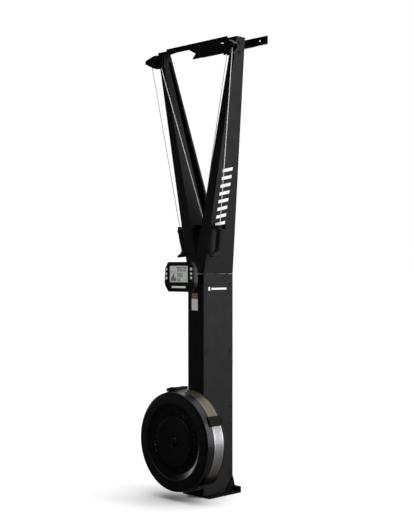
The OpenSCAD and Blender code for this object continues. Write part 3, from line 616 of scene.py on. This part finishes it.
def handle_place(side):
    """Maps the handle's own frame (top at the origin, grip down -Z) to the world."""
    top, bottom = cord_ends(side)
    line = (top - bottom).normalized()
    lean_x, lean_y = HANDLE_LEAN
    lean_y = lean_y if side == "right" else -lean_y
    turn = Matrix.Rotation(lean_y, 4, "Y") @ Matrix.Rotation(lean_x, 4, "X")
    return Matrix.Translation(bottom - CORD_FOOT_GAP * line) @ turn


# Radius and height of the ferrule and the collar at the handle's top
HANDLE_TOP = [(0.0042, 0.0), (0.0066, -0.0012), (0.0076, -0.005), (0.0082, -0.0112),
              (0.0128, -0.0128), (0.0152, -0.0158), (0.0158, -0.019), (0.0152, -0.0222),
              (0.0139, -0.0252)]
# The grip's ribs, then the flare below them and its foot
RIBS = 11
RIB_STEPS = 6
RIB_TOP = -0.028
RIB_DEPTH = 0.0004
GRIP_RADIUS = 0.0137
GRIP_BELLY = 0.0012
FLARE_TOP = -0.106
FLARE_STEPS = 12
FLARE_CURVE = 2.2
FLARE_SPACING = 0.8
FLARE_INSET = -0.0012
FOOT_BIG = 0.018
FOOT_SMALL = 0.013
FOOT_REACH = 0.036
FOOT_TOP = -0.1355
FOOT_POINTS = 56
# How much the foot's outline grows, and at what height, down its rounded edge
FOOT_EDGE = [(-0.0004, -0.1363), (0.0, -0.138), (0.0, -0.1425), (-0.0006, -0.1443),
             (-0.0026, -0.145)]


def grip_profile():
    """Radius and height down the grip: ferrule, collar, then a ribbed belly."""
    points = list(HANDLE_TOP)
    steps = RIBS * RIB_STEPS
    for i in range(steps + 1):
        share = i / steps
        belly = GRIP_RADIUS + GRIP_BELLY * math.sin(math.pi * share)
        groove = RIB_DEPTH * (1 - math.cos(2 * math.pi * share * RIBS))
        points.append((belly - groove, RIB_TOP + (FLARE_TOP - RIB_TOP) * share))
    return points


def foot_angles():
    """Directions round the foot, each with the radius and place of its end of the foot."""
    tilt = math.asin((FOOT_BIG - FOOT_SMALL) / FOOT_REACH)
    half = FOOT_POINTS // 2
    big = [-tilt + (math.pi + 2 * tilt) * i / (half - 1) for i in range(half)]
    small = [math.pi + tilt + (math.pi - 2 * tilt) * i / (half - 1) for i in range(half)]
    return [(a, FOOT_BIG, 0.0) for a in big] + [(a, FOOT_SMALL, -FOOT_REACH) for a in small]


def grip(side):
    """One skin from the ferrule down to a foot that flares forward like a boot."""
    place = handle_place(side)
    angles = foot_angles()

    def ring(radius, height, flare=0.0, grow=0.0):
        points = []
        for a, foot_radius, forward in angles:
            foot_r = foot_radius + grow
            x = (1 - flare) * radius * math.cos(a) + flare * foot_r * math.cos(a)
            y = (1 - flare) * radius * math.sin(a) + flare * (foot_r * math.sin(a) + forward)
            points.append(place @ Vector((x, y, height)))
        return points

    profile = grip_profile()
    waist = profile[-1][0]
    rings = [ring(r, h) for r, h in profile]
    for i in range(1, FLARE_STEPS + 1):
        share = i / FLARE_STEPS
        height = FLARE_TOP + (FOOT_TOP - FLARE_TOP) * share ** FLARE_SPACING
        rings.append(ring(waist, height, flare=share ** FLARE_CURVE, grow=FLARE_INSET))
    rings += [ring(waist, height, flare=1.0, grow=grow) for grow, height in FOOT_EDGE]

    handle = piece(side + "_grip_rubber", lambda work: closed_skin(work, rings),
                   "grip_rubber", side + "_handle")
    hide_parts(side + "_grip")


# ------------------------------------------------------------------ painted marks

WHITE_MARK = moulded_plastic("white_mark", (0.62, 0.62, 0.62), 0.5)
MARK_DEPTH = 0.0004
MARK_BEVEL = 0.0001
# The bars down an arm, measured from the arm's foot and its front edge
BAR_LIFT = 0.00003
BAR_COUNT = 8
BAR_START = 0.224
BAR_PITCH = 0.036
BAR_WIDTH = 0.015
BAR_SLANT = 0.014
BAR_FRONT = 0.030
BAR_BACK = 0.092
# The column's bar and square, as depth behind its front and drop below its top
COLUMN_BAR = ((0.050, 0.150), (0.074, 0.065))
COLUMN_SQUARE = ((0.030, 0.041), (0.078, 0.061))


def arm_marks(side):
    """Slanted white bars down an arm's outer face."""
    sign = 1 if side == "right" else -1
    arm_low, arm_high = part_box(side + "_arm")
    plate_low, plate_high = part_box(side + "_side_plate")
    foot_x = max(abs(plate_low.x), abs(plate_high.x))
    head_x = max(abs(arm_low.x), abs(arm_high.x))
    foot = Vector((sign * foot_x, arm_low.y, arm_low.z))
    climb = Vector((sign * (head_x - foot_x), 0, arm_high.z - arm_low.z)).normalized()
    outward = Vector((sign * climb.z, 0, -sign * climb.x))

    def corner(depth, along, lift):
        return foot + climb * along + outward * lift + Vector((0, depth, 0))

    def build(work):
        for i in range(BAR_COUNT):
            front = BAR_START + BAR_PITCH * i
            back = front + BAR_SLANT
            outline = [(BAR_FRONT, front), (BAR_BACK, back),
                       (BAR_BACK, back + BAR_WIDTH), (BAR_FRONT, front + BAR_WIDTH)]
            closed_skin(work, [[corner(depth, along, lift) for depth, along in outline]
                               for lift in (BAR_LIFT, BAR_LIFT + MARK_DEPTH)])

    marks = piece(side + "_arm_marks", build, None, "frame", smooth=False)
    marks.data.materials.append(WHITE_MARK)


def column_mark(side):
    """A short plain bar and a square on the lower column's side."""
    low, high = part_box(side + "_side_plate")
    if side == "right":
        near, far = high.x, high.x + MARK_DEPTH
    else:
        near, far = low.x - MARK_DEPTH, low.x
    boxes = [((near, low.y + front, high.z - bottom), (far, low.y + back, high.z - top))
             for (front, back), (bottom, top) in (COLUMN_BAR, COLUMN_SQUARE)]
    marks = soft_slabs(side + "_column_mark", boxes, None, "frame", MARK_BEVEL)
    marks.data.materials.append(WHITE_MARK)


# ------------------------------------------------------------------ console

CAP_RADIUS = 0.0065
CAP_LENGTH = 0.0075
CAP_SIDES = 32
# The cap's face as a share of its radius and a depth: a dimple, a crown and a rounded edge
CAP_FACE = [(0.0, 0.0005), (0.45, 0.0003), (0.7, 0.0), (0.88, 0.0003), (0.97, 0.0009),
            (1.0, 0.0018)]


def button_cap(name):
    """A domed cap with a shallow dimple, on a flange behind the console's face."""
    low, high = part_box(name)
    centre = (low + high) / 2
    flange_radius = high.x - centre.x
    place = (Matrix.Translation((centre.x, low.y, centre.z))
             @ Matrix.Rotation(math.radians(-90), 4, "X"))
    profile = [(CAP_RADIUS * share, depth) for share, depth in CAP_FACE]
    profile += [(CAP_RADIUS, CAP_LENGTH), (flange_radius, CAP_LENGTH),
                (flange_radius, high.y - low.y), (0.0, high.y - low.y)]
    rings = lathe_rings(profile, place, CAP_SIDES)
    cap = piece(name + "_cap", lambda work: grid_faces(work, rings), "button_grey", name)
    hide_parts(name)


# A digit's width, stroke and pitch, as shares of its height
DIGIT_WIDTH = 0.52
DIGIT_STROKE = 0.11
DIGIT_PITCH = 0.78
# Each row of zeros: how many, then base and size as shares of the screen's height
DIGIT_ROWS = [(4, 0.66, 0.26), (3, 0.34, 0.22), (2, 0.06, 0.2)]
DIGITS_LEFT = 0.42
SCREEN_MARK_BEVEL = 0.00005
# The bar chart, as shares of the screen
CHART_BARS = 6
CHART_CYCLE = 4
CHART_LEFT = 0.06
CHART_BASE = 0.08
CHART_PITCH = 0.05
CHART_WIDTH = 0.032
CHART_LOWEST = 0.16
CHART_STEP = 0.1
CHART_RULE = ((0.06, 0.62), (0.36, 0.64))
# The bar below the screen: half its length as a share of the screen's, and half its height
CONSOLE_BAR_SHARE = 0.38
CONSOLE_BAR_HALF = 0.0045


def zero_spans(height):
    """The six bars of a seven-segment zero, clockwise from the top, from its lower left."""
    w, h, t = height * DIGIT_WIDTH, height, height * DIGIT_STROKE
    return [(0, h - t, w, h), (w - t, h / 2, w, h), (w - t, 0, w, h / 2),
            (0, 0, w, t), (0, 0, t, h / 2), (0, h / 2, t, h)]


def console_display():
    """Plain zeros and bars on the screen."""
    low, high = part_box("console_screen")
    width, height = high.x - low.x, high.z - low.z

    def raised(x0, z0, x1, z1):
        return (x0, low.y - MARK_DEPTH, z0), (x1, low.y, z1)

    def share_box(x0, z0, x1, z1):
        return raised(low.x + width * x0, low.z + height * z0,
                      low.x + width * x1, low.z + height * z1)

    boxes = []
    for count, base, tall in DIGIT_ROWS:
        size, foot = height * tall, low.z + height * base
        for i in range(count):
            left = low.x + width * DIGITS_LEFT + i * size * DIGIT_PITCH
            boxes += [raised(left + x0, foot + z0, left + x1, foot + z1)
                      for x0, z0, x1, z1 in zero_spans(size)]
    for i in range(CHART_BARS):
        left = CHART_LEFT + CHART_PITCH * i
        top = CHART_BASE + CHART_LOWEST + CHART_STEP * (i % CHART_CYCLE)
        boxes.append(share_box(left, CHART_BASE, left + CHART_WIDTH, top))
    boxes.append(share_box(*CHART_RULE[0], *CHART_RULE[1]))
    soft_slabs("screen_marks", boxes, "gloss_black", "console", SCREEN_MARK_BEVEL)


def console_bar():
    """A plain pale bar below the screen."""
    low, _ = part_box("console_front")
    screen_low, screen_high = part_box("console_screen")
    middle = (screen_low.x + screen_high.x) / 2
    half = (screen_high.x - screen_low.x) * CONSOLE_BAR_SHARE
    level = (screen_low.z + low.z) / 2
    bar = [((middle - half, low.y - MARK_DEPTH, level - CONSOLE_BAR_HALF),
            (middle + half, low.y, level + CONSOLE_BAR_HALF))]
    made = soft_slabs("console_bar", bar, None, "console", MARK_BEVEL)
    made.data.materials.append(WHITE_MARK)


# ------------------------------------------------------------------ the model

make_camera()
make_stage()
dress_cad_nodes()
perforated_band()
for hand in SIDES:
    handle_cord(hand)
    grip(hand)
    arm_marks(hand)
    column_mark(hand)
console_display()
console_bar()
for hand in SIDES:
    for number in "123":
        button_cap(hand + "_button_" + number)
